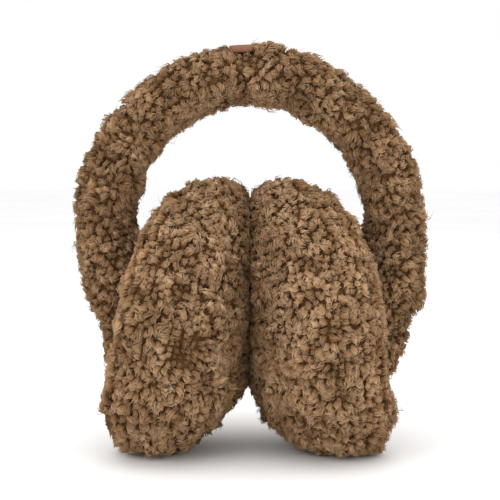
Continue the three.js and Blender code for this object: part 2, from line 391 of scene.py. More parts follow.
def closed_mesh(name, grid):
    """A mesh of the grid's rings with one point at each pole and its faces outwards."""
    rings, columns = grid.shape[0] - 1, grid.shape[1] - 1
    points = np.concatenate([grid[0, :1], grid[1:-1, :-1].reshape(-1, 3), grid[-1, :1]])
    ring, column = np.meshgrid(np.arange(rings - 2), np.arange(columns), indexing="ij")
    after = (column + 1) % columns
    quads = 1 + np.stack([
        ring * columns + column,
        (ring + 1) * columns + column,
        (ring + 1) * columns + after,
        ring * columns + after,
    ], -1).reshape(-1, 4)
    first = np.arange(columns)
    last = 1 + (rings - 2) * columns
    near = np.stack([0 * first, 1 + first, 1 + (first + 1) % columns], -1)
    far = np.stack([0 * first + len(points) - 1, last + (first + 1) % columns, last + first], -1)
    if grid_normals(grid)[1] < 0:
        quads, near, far = quads[:, ::-1], near[:, ::-1], far[:, ::-1]
    mesh = bpy.data.meshes.new(name)
    mesh.from_pydata(points, [], [*quads.tolist(), *near.tolist(), *far.tolist()])
    mesh.shade_smooth()
    return mesh


def mirrored(grid):
    """The left pad's grid from the right one's. The columns run backwards, so that it isn't inside out."""
    return (grid * np.array([-1, 1, 1]))[:, ::-1]


print("a grid of 4 rings by 8 columns has", surface_grid(lambda v, a: np.stack([v, a, a], -1), 4, 8).shape)

# %% [markdown]
# Under the curls every fur piece has a backing, the padded form itself. It lies a little below the mean
# surface of the pile. Where a pad stands on the floor or presses on the other pad, it is pressed flat.
# The real pair isn't an exact mirror image: it leans to one side by a millimetre or so, and it is pushed
# in or out in a few places, by 6 mm at most.

# %% Backings
ROOT_DEPTH = 1.5 * MM
BAND_ROOT_DEPTH = 1.9 * MM
BACKING_CLEARANCE = 0.3 * MM
TIP_GATHERING = 0.18


def pressed(points, side, clearance):
    """Points kept above the floor and on their own side of the middle."""
    x = side * np.maximum(side * points[..., 0], CONTACT_GAP / 2 + clearance)
    z = np.maximum(points[..., 2], clearance)
    return np.stack([x, points[..., 1], z], -1)


def backing_grid(shape, rings, columns, side=1, depth=ROOT_DEPTH):
    """The mean surface's grid sunk by depth along its normals, mirrored for the left."""
    grid = surface_grid(shape, rings, columns)
    grid = grid - grid_normals(grid)[0] * depth
    return grid if side > 0 else mirrored(grid)


def sleeve_shape(v, angle):
    """The whole sleeve from tip to tip. Rings gather at the tips by a share of a sine."""
    even = 2 * v - 1
    s = HALF_BAND * (even + TIP_GATHERING * (np.sin(even * np.pi / 2) - even))
    return sleeve_surface(s, angle)


SIDEWAYS = {
    "headband": ([60, 90, 120, 165], [1.8, 1.3, 0.2, 0]),
    "left": ([0, 14, 24, 48, 70], [0.4, -0.2, -1.0, -0.8, 0]),
    "right": ([0, 50, 72], [-1.5, -1.4, 0]),
}
PUSHES = {
    "headband": [
        (0, 170, 0, 0.8, 16),
        (8, 171, 0, 1.3, 8),
        (50, 183, -1.2, -1.2, 14),
        (68, 166, -0.5, -0.5, 10),
        (-53, 184, 0.9, -0.9, 10),
        (26, 201, 0, 0.7, 8),
        (-37, 158, 0.9, -0.9, 9),
        (-54, 117, -1.4, 0, 10),
        (-78, 76, 1.5, 0, 12),
        (50, 128, 0.8, 0, 10),
        (86, 118, -1.3, 0, 12),
    ],
    "left": [
        (-68, 6, 2.4, 0, 9),
        (-72, 31, -3.2, 0, 9),
        (-70, 50, -1.3, 0, 8),
        (-34, 133, 0.8, -1.0, 6),
        (-12, 137, 0, 0.9, 12),
        (-20, 4, -3.0, 5.0, 10),
        (-46, 0, 0, 3.0, 18),
        (-2, 37, 2.4, -2.0, 9),
        (-4, 133, 1.2, 1.8, 6),
    ],
    "right": [
        (69, 25, 3.2, 0, 9),
        (50, 116, 1.0, 1.0, 8),
        (15, 137, 0, 0.9, 12),
        (67, 41, -1.0, 0, 6),
        (2, 34, -3.0, -2.0, 10),
        (14, 13, -1.6, -1.0, 8),
        (4, 133, -1.2, 1.8, 6),
    ],
}


def settled(key, grid):
    """The grid as the real pair sags, by two tables in millimetres.

    The first moves it aside by a distance for each height. The second holds pushes in the front view: the
    place x and z, the move in x and z, and the size over which the push fades as exp(-(gap / size)^2).
    """
    heights, moves = SIDEWAYS[key]
    aside = np.interp(grid[..., 2] / MM, heights, moves) * MM
    moved = grid + aside[..., None] * np.array([1, 0, 0])
    for x, z, move_x, move_z, size in PUSHES[key]:
        gap = np.hypot(grid[..., 0] - x * MM, grid[..., 2] - z * MM) / (size * MM)
        moved = moved + np.exp(-gap**2)[..., None] * np.array([move_x, 0, move_z]) * MM
    return moved


GRIDS = {"headband": settled("headband", backing_grid(sleeve_shape, 150, 40, depth=BAND_ROOT_DEPTH))}
for side, side_name in ((-1, "left"), (1, "right")):
    for layer, kind, rings in ((CUSHION, "_cushion", 64), (COVER, "_cover", 40)):
        grid = backing_grid(lambda v, a: layer_surface(layer, v, a, PAD_LIFT), rings, 72, side)
        GRIDS[side_name + kind] = pressed(settled(side_name, grid), side, BACKING_CLEARANCE)
print("grids:", {name: grid.shape[:2] for name, grid in GRIDS.items()})

# %% [markdown]
# Locks have to stand evenly, or bare streaks show. They are set out in rows like seedlings: the rows are a
# spacing apart along the grid, each row is filled at the same spacing and starts at a random place, and
# every root is then moved a little by chance, so that no rows can be seen.

# %% Even places on a grid
def even_places(grid, spacing, jitter, rng):
    """Fractional rows and columns of points that lie about a spacing apart on a grid.

    The mean step between rings adds up to a length, and rows are taken at equal steps of it. The steps
    round each row's ring add up to its girth, and the row's places are at equal steps of that.
    """
    steps = np.linalg.norm(np.diff(grid, axis=0), axis=-1).mean(1)
    length = np.concatenate([[0], np.cumsum(steps)])
    rings = max(1, round(length[-1] / spacing))
    ring = np.interp((np.arange(rings) + 0.5) / rings * length[-1], length, np.arange(len(length)))
    cell = np.clip(np.round(ring).astype(int), 1, len(grid) - 2)
    around = np.linalg.norm(np.diff(grid, axis=1), axis=-1)[cell]
    girth = around.sum(1)
    each = np.maximum(1, np.round(girth / spacing).astype(int))
    number = np.repeat(np.arange(rings), each)
    place = np.arange(each.sum()) - np.repeat(np.cumsum(each) - each, each)
    offset = rng.uniform(0, 1, rings)[number]
    turn = (place + offset + jitter * rng.uniform(-1, 1, len(place))) / each[number] % 1
    ladder = (np.cumsum(around, 1) / girth[:, None] + np.arange(rings)[:, None]).ravel()
    found = np.clip(np.searchsorted(ladder, turn + number), 0, len(ladder) - 1)
    column = found - number * around.shape[1]
    start = np.where(column > 0, ladder[found - 1] - number, 0)
    share = np.clip((turn - start) / np.maximum(ladder[found] - number - start, 1e-9), 0, 1)
    drift = jitter * rng.uniform(-1, 1, len(place)) * spacing
    rows = np.arange(len(length))
    row = np.interp(np.interp(ring[number], rows, length) + drift, length, rows)
    return row, np.clip(column + share, 0, around.shape[1])


def read_grid(values, row, column):
    """Values between a grid's points, weighted by the four points round each place."""
    r = np.clip(row.astype(int), 0, values.shape[0] - 2)
    c = np.clip(column.astype(int), 0, values.shape[1] - 2)
    a, b = (row - r)[:, None], (column - c)[:, None]
    top = values[r, c] * (1 - b) + values[r, c + 1] * b
    low = values[r + 1, c] * (1 - b) + values[r + 1, c + 1] * b
    return top * (1 - a) + low * a


def unit(vectors):
    return vectors / (np.linalg.norm(vectors, axis=-1, keepdims=True) + 1e-12)


rows, columns = even_places(GRIDS["headband"], 3 * MM, 0.3, np.random.default_rng(0))
print("at a spacing of 3 mm the headband holds", len(rows), "locks")

# %% [markdown]
# The pile is made of curls and strands, each a closed tapered tube on a bent line. A few sides and rings
# are enough, because a curl is only a few pixels wide. All tubes of a piece are worked out at once as
# arrays and joined into one mesh. Its UV map holds each tube as a narrow upright strip: across is the
# tube's own tone, up is root to tip.

# %% Joined curls
STRIP = 0.02


def joined_tubes(name, lines, radii, sideways, flatness, tones, sides):
    """A mesh of many closed tapered tubes.

    lines is (tubes, rings + 1, 3), and each line's last point is the tube's tip. Each ring is an ellipse
    round the line's point, flatness times as thick as it is wide, across the line's direction.
    """
    tubes, rings = lines.shape[0], lines.shape[1] - 1
    ahead = unit(np.gradient(lines, axis=1))
    side = unit(sideways[:, None] - ahead * np.sum(ahead * sideways[:, None], -1, keepdims=True))
    over = np.cross(ahead, side)
    turn = np.arange(sides) / sides * 2 * np.pi
    ellipse = side[:, :-1, None] * np.cos(turn)[:, None]
    ellipse = ellipse + flatness * over[:, :-1, None] * np.sin(turn)[:, None]
    skin = lines[:, :-1, None] + ellipse * radii[:, :, None, None]
    points = np.concatenate([skin.reshape(tubes, -1, 3), lines[:, -1:]], 1).reshape(-1, 3)

    each = rings * sides + 1
    at = np.arange(sides)
    after = (at + 1) % sides
    bands = np.arange(rings - 1)[:, None] * sides
    walls = [bands + at, bands + after, bands + sides + after, bands + sides + at]
    quads = np.stack(walls, -1).reshape(-1, 4)
    last = (rings - 1) * sides
    caps = np.stack([last + at, last + after, 0 * at + each - 1], -1)
    start = np.arange(tubes)[:, None] * each
    quad_corners = (start[:, :, None] + quads).reshape(-1)
    base_corners = (start + at[::-1]).reshape(-1)
    cap_corners = (start[:, :, None] + caps).reshape(-1)
    corners = np.concatenate([quad_corners, base_corners, cap_corners]).astype(np.int32)
    sizes = np.concatenate([
        np.full(len(quads) * tubes, 4),
        np.full(tubes, sides),
        np.full(len(caps) * tubes, 3),
    ])
    mesh = bpy.data.meshes.new(name)
    mesh.vertices.add(len(points))
    mesh.vertices.foreach_set("co", points.astype(np.float32).ravel())
    mesh.loops.add(len(corners))
    mesh.loops.foreach_set("vertex_index", corners)
    mesh.polygons.add(len(sizes))
    mesh.polygons.foreach_set("loop_start", np.concatenate([[0], np.cumsum(sizes)[:-1]]).astype(np.int32))
    mesh.update(calc_edges=True)
    mesh.shade_smooth()

    place = corners % each
    ring_of = np.minimum(place // sides, rings)
    up = ring_of / rings
    tip = place == each - 1
    across = np.where(tip, 0.5, (place % sides) / (sides - 1))
    u = STRIP / 2 + (1 - STRIP) * tones[corners // each] + (across - 0.5) * STRIP * 0.9
    layer = mesh.uv_layers.new(name="OFBake")
    layer.uv.foreach_set("vector", np.stack([u, 0.01 + 0.98 * up], -1).astype(np.float32).ravel())
    return mesh


# %% [markdown]
# The lie of the pile isn't random from curl to curl: neighbours lean alike, and the lean turns slowly over
# the surface, which makes the whorls and partings of a real fleece. A few sine waves of the place give
# such a slow field. The same kind of field makes some patches longer and some lighter.

# %% Slow fields
def slow_field(points, wavelength, seed):
    """A smooth number near -1 to 1 at each point: the mean of six sine waves in random directions."""
    rng = np.random.default_rng(seed)
    waves = unit(rng.normal(size=(6, 3))) * 2 * np.pi / wavelength * rng.uniform(0.7, 1.4, (6, 1))
    return np.sin(points @ waves.T + rng.uniform(0, 2 * np.pi, 6)).sum(1) / 2.6


def lie_of_pile(points, normals, bias, seed, scatter, rng):
    """A unit direction along the surface at each point.

    It starts from the bias laid flat on the surface, and is turned about the normal by a slow field of up
    to about 130 degrees and by a random angle of the scatter's size.
    """
    flat = unit(bias - normals * np.sum(bias * normals, -1, keepdims=True))
    across = np.cross(normals, flat)
    turn = slow_field(points, 34 * MM, seed) * 1.5 + slow_field(points, 13 * MM, seed + 1) * 0.8
    turn = turn + rng.normal(0, scatter, len(points))
    return flat * np.cos(turn)[:, None] + across * np.sin(turn)[:, None]


# %% [markdown]
# Handling leaves marks in a fleece. Where it was pressed it parts and shows its dark roots; the shade in
# the hollow is painted into the locks' tone, and the locks round its rim get painted light. Where it was
# stroked it lies flat, and its sheen is painted as a lighter tone. The photograph shows a few such dents and
# strokes on the front of the pads. A dent is a place in the front view with a size: the backing sinks there
# and the locks round it are shorter and lean away. A stroke is a short line with a size, and the locks on it
# lie along it.

# %% Dents and strokes
DENTS = [
    {"piece": "left_cushion", "x": -30, "z": 60, "size": 6.5, "depth": 1.3},
    {"piece": "left_cushion", "x": -34, "z": 54, "size": 5, "depth": 0.9},
    {"piece": "left_cushion", "x": -33, "z": 86, "size": 3.5, "depth": 1.0},
    {"piece": "left_cushion", "x": -20, "z": 38, "size": 4, "depth": 0.5},
    {"piece": "right_cushion", "x": 25, "z": 97, "size": 3.5, "depth": 0.6},
    {"piece": "right_cushion", "x": 28, "z": 83, "size": 4.5, "depth": 0.9},
    {"piece": "right_cushion", "x": 37, "z": 68, "size": 4.5, "depth": 0.8},
    {"piece": "right_cushion", "x": 37, "z": 50, "size": 4.5, "depth": 0.8},
]
DENT_DEPTH = 3 * MM
DENT_SHORTENING = 0.35
# Painted shade in a dent's hollow and painted light on the locks of its rim, as shares of tone.
DENT_PAINTED_SHADE = 0.7
RIM_PAINTED_LIGHT = 0.12
STROKE_SHORTENING = 0.15
# A stroke's painted sheen, as a gain in tone.
STROKE_PAINTED_SHEEN = 0.25
STROKES = [
    {"piece": "right_cushion", "from": (42, 110), "to": (50, 86), "size": 5.5},
    {"piece": "left_cushion", "from": (-50, 104), "to": (-60, 68), "size": 4},
    {"piece": "left_cover", "from": (-54, 100), "to": (-64, 62), "size": 4},
]


def dent_nearness(piece, points):
    """For each dent of the piece: 1 at its middle and falling off as exp(-gap^2), only on the front."""
    for row in DENTS:
        if row["piece"] == piece:
            away = points - np.array([row["x"] * MM, 0, row["z"] * MM])
            away[..., 1] = 0
            gap = np.linalg.norm(away, axis=-1) / (row["size"] * MM)
            yield row["depth"], np.exp(-gap**2) * (points[..., 1] < 0), gap, unit(away)


def dimpled(piece, grid):
    """The grid sunk at the piece's dents by their depths times the dents' common depth."""
    sunk = grid * 1.0
    for depth, near, _, _ in dent_nearness(piece, grid):
        sunk -= grid_normals(grid)[0] * (near * depth * DENT_DEPTH)[..., None]
    return sunk


def marked(piece, points, comb):
    """Each lock's length factor, leaning direction and gain in tone from the dents and strokes near it."""
    length, tone = np.ones(len(points)), np.zeros(len(points))
    front = points[:, 1] < 0
    for depth, near, gap, away in dent_nearness(piece, points):
        length *= 1 - DENT_SHORTENING * depth * near
        # Painted shade in the dent's hollow.
        tone -= DENT_PAINTED_SHADE * depth * near
        rim = np.exp(-(((gap - 1.2) / 0.6) ** 2)) * front
        comb = unit(comb + away * (1.8 * rim)[:, None])
        # Painted light on the raised locks round the dent's rim.
        tone += RIM_PAINTED_LIGHT * rim
    for row in STROKES:
        if row["piece"] == piece:
            start, end = (np.array([row[key][0], row[key][1]]) * MM for key in ("from", "to"))
            way = end - start
            flat = points[:, [0, 2]] - start
            share = np.clip(flat @ way / (way @ way), 0, 1)
            gap = np.linalg.norm(flat - share[:, None] * way, axis=1) / (row["size"] * MM)
            near = np.exp(-gap**2) * front
            along = unit(np.array([way[0], 0, way[1]]))
            comb = unit(comb + along * (2.5 * near)[:, None])
            length *= 1 - STROKE_SHORTENING * near
            # Painted sheen where the pile was stroked flat.
            tone += STROKE_PAINTED_SHEEN * near
    return length, comb, tone


def in_pad(points, side, margin):
    """True where a point lies inside a pad by the margin: the turn back into the pad's own frame."""
    moved = points * np.array([side, 1, 1]) - np.array([CUSHION_THICKNESS, PAD_SET_BACK, PAD_LIFT])
    x, y, z = np.moveaxis(moved, -1, 0)
    x, z = x * np.cos(PAD_LEAN) + z * np.sin(PAD_LEAN), -x * np.sin(PAD_LEAN) + z * np.cos(PAD_LEAN)
    x, y = x * np.cos(PAD_SWIVEL) + y * np.sin(PAD_SWIVEL), -x * np.sin(PAD_SWIVEL) + y * np.cos(PAD_SWIVEL)
    h = z / (PAD_HEIGHT / 2)
    x = x + PAD_BOW * h**2 + PAD_CURL * h**3
    reach = np.hypot(y / (PAD_DEPTH / 2 - COVER["inset"]), z / (PAD_HEIGHT / 2 - COVER["inset"]))
    outer = COVER["face"] * np.sqrt(np.clip(1 - reach**2, 0, 1))
    return (reach < 1) & (x > COVER["rim"] - CUSHION_THICKNESS) & (x < outer - margin)


def in_arm(points, margin):
    """True where a point lies inside one of the band's arms by the margin."""
    drop = np.clip((ARCH_HEIGHT - points[:, 2]) / ARM_BEND, 0, 0.9)
    s = QUARTER_ARCH + ARM_BEND * np.arcsin(drop)
    tip = np.clip((s - HALF_BAND + SLEEVE_TIP) / SLEEVE_TIP, 0, 1)
    size = smooth_steps(np.clip(s / HALF_BAND, 0, 1), SLEEVE_ALONG, SLEEVE_SIZE) * np.sqrt(1 - tip * tip)
    centre = ARCH_RADIUS - ARM_BEND * (1 - np.cos(np.arcsin(drop)))
    up = (np.abs(points[:, 0]) - centre) / (SLEEVE_THICKNESS / 2 * size - margin + 1e-6)
    across = points[:, 1] / (SLEEVE_WIDTH / 2 * size - margin + 1e-6)
    return (np.hypot(up, across) < 1) & (points[:, 2] < ARCH_HEIGHT) & (s < HALF_BAND)


# %% [markdown]
# Planting starts with a list of locks for a piece. Their roots are spread evenly, those that nothing would
# show are dropped, and each gets a leaning direction, a length, a size and a tone. Wide tufts of locks
# stand up as domes, and the tone paints their tops lighter and the creases between them darker, as shade.

# %% Locks of a piece
LOCK_SPACING = 3.0 * MM
LOCK_LENGTH = 2.5 * MM
LOCK_RADIUS = 1.36 * MM
TUFT_SPACING = 6.5 * MM
TUFT_DOME = 1.1 * MM
DOWNWARDS = np.array([0.4, 0, -1])


def nearest(roots, centres):
    """For each root the number of the nearest centre: the least |c|^2 - 2 r.c of all pairs."""
    return np.argmin(np.sum(centres**2, 1) - 2 * roots @ centres.T, axis=1)


def tuft_domes(grid, roots, rng):
    """How far the pile stands up at each root, and the direction to its tuft's middle."""
    row, column = even_places(grid, TUFT_SPACING, 0.5, rng)
    centres = read_grid(grid, row, column)
    inwards = centres[nearest(roots, centres)] - roots
    off = np.linalg.norm(inwards, axis=1) / (TUFT_SPACING * 0.6)
    return TUFT_DOME * (0.5 - np.clip(off, 0, 1.3) ** 2), unit(inwards) * np.clip(off, 0, 1.2)[:, None]


def locks_of(key, seed, keep, shade):
    """The locks of one piece as arrays: roots, three axes each (normal, comb, side), lengths, sizes, tones.

    keep says which roots stay, and shade gives a loss of tone at each root.
    """
    rng = np.random.default_rng(seed)
    grid = GRIDS[key]
    row, column = even_places(grid, LOCK_SPACING, 0.25, rng)
    roots = read_grid(grid, row, column)
    normals = unit(read_grid(grid_normals(grid)[0], row, column))
    shown = keep(roots, row, column)
    roots, normals = roots[shown], normals[shown]
    down = DOWNWARDS * np.stack([np.sign(roots[:, 0]), 0 * roots[:, 0], 1 + 0 * roots[:, 0]], -1)
    comb = lie_of_pile(roots, normals, down, seed, 0.7, rng)
    dome, inwards = tuft_domes(grid, roots, rng)
    comb = unit(comb + 0.6 * inwards - normals * np.sum(inwards * normals, -1, keepdims=True))
    short, comb, marks_painted_light = marked(key, roots, comb)
    chance = rng.normal(0, 1, (3, len(roots)))
    side = np.cross(normals, comb) * rng.choice([-1, 1], len(roots))[:, None]
    # The dome term is painted light and shade: lighter on the tufts' tops, darker in the creases between
    # them.
    tone = 0.5 + 0.2 * slow_field(roots, 22 * MM, 8) + 0.08 * chance[2] + 0.4 * dome / TUFT_DOME
    return {
        "roots": roots,
        "axes": np.stack([normals, comb, side], 1),
        "lengths": LOCK_LENGTH * short * (1 + 0.12 * slow_field(roots, 24 * MM, 3) + 0.13 * chance[0]) + dome,
        "sizes": LOCK_RADIUS * np.clip(1 + 0.18 * chance[1], 0.5, 1.5),
        "tones": tone + marks_painted_light - shade(roots),
    }


# %% [markdown]
# Every lock has a plump body that bows over at its end. Rise, lean and hook are the shares of the lock's
# length that each point of its line stands off, leans along the pile and swings aside.

# %% Plump bodies
LOCK_RISE = [0.0, 0.5, 0.82, 0.8]
LOCK_LEAN = [0.0, 0.15, 0.6, 1.1]
LOCK_HOOK = [0.0, 0.25, 0.2, -0.3]
LOCK_WIDTH = [1.0, 1.1, 0.75]
LOCK_SIDES = 4


def bent_lines(locks, places):
    """Lines from the roots: length (rise normal + lean comb + hook side), read at places in the tables."""
    shares = np.stack([np.interp(places, range(4), row) for row in (LOCK_RISE, LOCK_LEAN, LOCK_HOOK)], -1)
    return np.einsum("rk,nkx->nrx", shares, locks["axes"]) * locks["lengths"][:, None, None]


def plump_bodies(name, locks, fit):
    """One tube for each lock. fit moves the lines' points, so that they stay above the floor."""
    lines = fit(locks["roots"][:, None] + bent_lines(locks, range(4)))
    radii = locks["sizes"][:, None] * np.array(LOCK_WIDTH)
    tones = np.clip(locks["tones"], 0, 1)
    return joined_tubes(name, lines, radii, locks["axes"][:, 2], 1.0, tones, LOCK_SIDES)


def tube_triangles(sides, rings):
    """Triangles of one tube: two for each side between rings, one for each side at the tip, and the base."""
    return sides * 2 * (rings - 1) + sides + sides - 2


print("a body has", tube_triangles(LOCK_SIDES, len(LOCK_WIDTH)), "triangles")

# %% [markdown]
# Thin strands lie over each body and meet near its tip, which gives the lock its fibres and a soft edge.
# A few are loose: they are thinner and longer and stray further, like the single hairs of a worn fleece.

# %% Thin strands
STRANDS_EACH = 5
STRAND_RADIUS = 0.33 * MM
STRAND_PLACES = [0, 1.6, 2.8]
STRAND_ROOM = [0.95, 1.1, 0.35]
STRAND_REACH = 1.35
LOOSE_SHARE = 0.06


def thin_strands(name, locks, seed, fit):
    """The strands of all locks. Each starts beside the body's root, passes over it and ends past its tip.

    Round the lock's line a strand keeps off by the room times the body's size, at an even turn plus chance.
    """
    rng = np.random.default_rng(seed)
    normals, comb, side = np.moveaxis(locks["axes"], 1, 0)
    count = len(normals)
    turn = (np.arange(STRANDS_EACH) + rng.uniform(0, 1, (count, 1))) / STRANDS_EACH * 2 * np.pi
    around = side[:, None] * np.cos(turn)[..., None]
    around = around + unit(comb - normals * 0.5)[:, None] * np.sin(turn)[..., None]
    room = np.array(STRAND_ROOM)[:, None] * around[:, :, None] * locks["sizes"][:, None, None, None]
    loose = rng.uniform(0, 1, turn.shape) < LOOSE_SHARE
    reach = STRAND_REACH * rng.uniform(0.8, 1.15, turn.shape) * np.where(loose, 1.25, 1)
    stray = rng.normal(0, 1, room.shape) * np.where(loose, 0.2, 0.06)[..., None, None] * np.arange(3)[:, None]
    bent = bent_lines(locks, STRAND_PLACES)[:, None] * reach[..., None, None]
    lines = locks["roots"][:, None, None] + bent + room + stray * locks["lengths"][:, None, None, None]
    tones = np.clip(locks["tones"][:, None] + 0.08 + rng.normal(0, 0.06, turn.shape), 0, 1)
    radii = STRAND_RADIUS * rng.uniform(0.6, 1.3, turn.shape) * np.where(loose, 0.45, 1)
    radii = np.repeat(radii.reshape(-1, 1), 2, axis=1)
    sideways = np.repeat(side, STRANDS_EACH, axis=0)
    return joined_tubes(name, fit(lines.reshape(-1, 3, 3)), radii, sideways, 1.0, tones.ravel(), 3)


print("a lock's strands have", STRANDS_EACH * tube_triangles(3, 2), "triangles")

# %% [markdown]
# Wool has no gloss of its own, but its fine ends catch light from the side, which is what sheen does. The
# colour runs from dark at the root, where little light gets in, to light at the tip. It reads only the
# tube's UV map, so every curl and strand is coloured along its own length and keeps its own tone.

# %% Wool of the curls
ROOT_BROWN = linear(107, 72, 41)
LOW_BROWN = linear(130, 94, 60)
MID_BROWN = linear(152, 120, 87)
TIP_TAN = linear(173, 146, 117)
SHEEN_TAN = linear(200, 164, 126)
CURL_STOPS = [(0.0, ROOT_BROWN), (0.35, LOW_BROWN), (0.7, MID_BROWN), (1.0, TIP_TAN)]
STRAND_STOPS = [(0.0, LOW_BROWN), (0.5, MID_BROWN), (1.0, TIP_TAN)]
TONE_REACH = 0.33
TONE_SHIFT = 0.4
STREAK_REACH = 0.4


def wool(name, stops, rough):
    """A wool finish on a tube's UV map: a ramp from root to tip, times the tone, with fine streaks."""
    shader = Shader(name, Roughness=rough, Sheen_Weight=0.6, Sheen_Roughness=0.5, Specular_IOR_Level=0.1)
    shader.surface.inputs["Sheen Tint"].default_value = (*SHEEN_TAN, 1)
    place = shader.node("ShaderNodeUVMap", {"uv_map": "OFBake"})
    tone = shader.node("ShaderNodeSeparateXYZ", values=[place])
    up = Number(shader, tone.socket.node.outputs[1])
    stretched = shader.node("ShaderNodeVectorMath", {"operation": "MULTIPLY"}, [place, (160, 5, 1)])
    streak = shader.node("ShaderNodeTexNoise", values={"Vector": stretched, "Scale": 1.0, "Detail": 3.0})
    along = up + (tone - 0.5) * TONE_SHIFT + (streak - 0.5) * STREAK_REACH
    ramp = shader.node("ShaderNodeValToRGB", {"stops": stops}, [along])
    shade = (1 - TONE_REACH) + tone * (2 * TONE_REACH) + (streak - 0.5) * STREAK_REACH
    gain = shader.node("ShaderNodeCombineXYZ", values=[shade, shade, shade])
    colour = shader.node("ShaderNodeVectorMath", {"operation": "MULTIPLY"}, [ramp, gain])
    bump = shader.node("ShaderNodeBump", values={"Strength": 0.4, "Distance": 0.0004, "Height": streak})
    return shader.finish(Base_Color=colour, Normal=bump)


CURL_WOOL = wool("curled_wool", CURL_STOPS, 0.95)
STRAND_WOOL = wool("strand_wool", STRAND_STOPS, 0.9)
print("wool finishes:", CURL_WOOL.name, STRAND_WOOL.name)

# %% [markdown]
# Between the curls the backing shows as a matted underlayer, darker than the curls: partly its own colour,
# partly painted shade of the deep pile. Its colour is mottled at the size of the curls' roots and its
# surface is felted.

# %% Matted backing
def backing_with_painted_shade():
    """Dark felt, partly painted shade: two noises mottle the colour, the finer one raises the surface."""
    shader = Shader("backing_with_painted_shade", Roughness=1.0, Specular_IOR_Level=0.1)
    place = shader.node("ShaderNodeTexCoord", output="Object")
    wide = shader.node("ShaderNodeTexNoise", values={"Vector": place, "Scale": 300.0, "Detail": 2.0})
    fine = shader.node("ShaderNodeTexNoise", values={"Vector": place, "Scale": 1400.0, "Detail": 4.0})
    # These browns are partly the underlayer's own colour and partly painted shade of the gaps between curls.
    stops = [(0.3, linear(66, 43, 24)), (0.7, linear(104, 75, 47))]
    colour = shader.node("ShaderNodeValToRGB", {"stops": stops}, [wide * 0.6 + fine * 0.4])
    bump = shader.node("ShaderNodeBump", values={"Strength": 0.7, "Distance": 0.0008, "Height": fine})
    return shader.finish(Base_Color=colour, Normal=bump)


BACKING_FELT_AND_SHADE = backing_with_painted_shade()
print("backing finish:", BACKING_FELT_AND_SHADE.name)

# %% [markdown]
# The pads are filled with wadding, and a cloth simulation gives the backing the soft swell that stuffing
# has. The grid's own mesh is the cloth: pressure pushes it out, gravity is off, and no point may move
# further than a cap. The places are read back into the grid, so the curls root on the swollen form.

# %% Filling the pads
SWELL_CAP = 1.6 * MM
SWELL_FRAMES = 20
FILLING_PRESSURE = 4
LUMP_HEIGHT = 1.1 * MM
LUMP_LENGTH = 19 * MM


def lumpy(grid, height, wavelength, seed):
    """The grid moved along its normals by a slow field, which gives the uneven lumps of a fleece."""
    lumps = slow_field(grid.reshape(-1, 3), wavelength, seed).reshape(grid.shape[:2])
    return grid + grid_normals(grid)[0] * (lumps * height)[..., None]


def swollen(name, grid, pressure):
    """The grid after a short cloth simulation. Each point moves by at most the cap."""
    cloth = bpy.data.objects.new(name, closed_mesh(name, grid))
    bpy.context.scene.collection.objects.link(cloth)
    settings = cloth.modifiers.new("filling", "CLOTH").settings
    settings.use_pressure = True
    settings.uniform_pressure_force = pressure
    settings.effector_weights.gravity = 0
    settings.quality = 5
    for frame_number in range(1, SWELL_FRAMES + 1):
        bpy.context.scene.frame_set(frame_number)
    result = cloth.evaluated_get(bpy.context.evaluated_depsgraph_get()).to_mesh()
    places = np.zeros(len(result.vertices) * 3, dtype=np.float32)
    result.vertices.foreach_get("co", places)
    places = places.reshape(-1, 3).astype(float)
    bpy.data.objects.remove(cloth)
    bpy.context.scene.frame_set(1)
    new = grid.copy()
    new[0], new[-1] = places[0], places[-1]
    new[1:-1, :-1] = places[1:-1].reshape(grid.shape[0] - 2, -1, 3)
    new[:, -1] = new[:, 0]
    move = new - grid
    reach = np.linalg.norm(move, axis=-1, keepdims=True)
    return grid + move * np.minimum(1, SWELL_CAP / (reach + 1e-12))


for name, grid in list(GRIDS.items()):
    lumps = dimpled(name, lumpy(grid, LUMP_HEIGHT, LUMP_LENGTH, len(name)))
    if name == "headband":
        GRIDS[name] = lumps
        continue
    full = swollen(name, lumps, FILLING_PRESSURE)
    moved = np.linalg.norm(full - grid, axis=-1)
    GRIDS[name] = pressed(full, -1 if name.startswith("left") else 1, BACKING_CLEARANCE)
    print(name, "moved by up to", round(moved.max() / MM, 2), "mm")

# %% [markdown]
# The pieces share one way of being added: a mesh, its finish, the body that it rides on and the solid that
# it stands for, which is hidden.

# %% Adding a piece
def add_piece(mesh, material, node, slot):
    """Links the mesh as an object at the origin, on the root body, and hides the solid that it stands for."""
    mesh.materials.append(material)
    piece = bpy.data.objects.new(mesh.name, mesh)
    bpy.context.scene.collection.objects.link(piece)
    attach(piece, "root")
    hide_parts(node)
    return piece


def triangles(mesh):
    """The number of triangles: each face has two fewer than it has corners."""
    return len(mesh.loops) - 2 * len(mesh.polygons)


# %% [markdown]
# A fur piece is a backing, the plump bodies and the thin strands. One function makes all three, because the
# headband and the four layers of the pads differ only in where locks grow and what presses them.

# %% A fur piece
def add_fur(key, node, slot, seed, keep, fit, shade):
    """Adds the padded backing, the curls and the strands of one piece, and tells how many triangles."""
    backing = add_piece(closed_mesh(key + "_backing", GRIDS[key]), BACKING_FELT_AND_SHADE, node, slot)
    locks = locks_of(key, seed, keep, shade)
    curls = add_piece(plump_bodies(key + "_curls", locks, fit), CURL_WOOL, node, slot)
    strands = add_piece(thin_strands(key + "_strands", locks, seed + 1, fit), STRAND_WOOL, node, slot)
    print(key, [triangles(piece.data) for piece in (backing, curls, strands)], "triangles")


# %% [markdown]
# The headband's sleeve runs from pad to pad. Its curls lie loosely downwards on the outside. None are
# planted under the leather tab or deep inside the pads. Its wool is a little darker than the pads', as it
# is in the photograph.

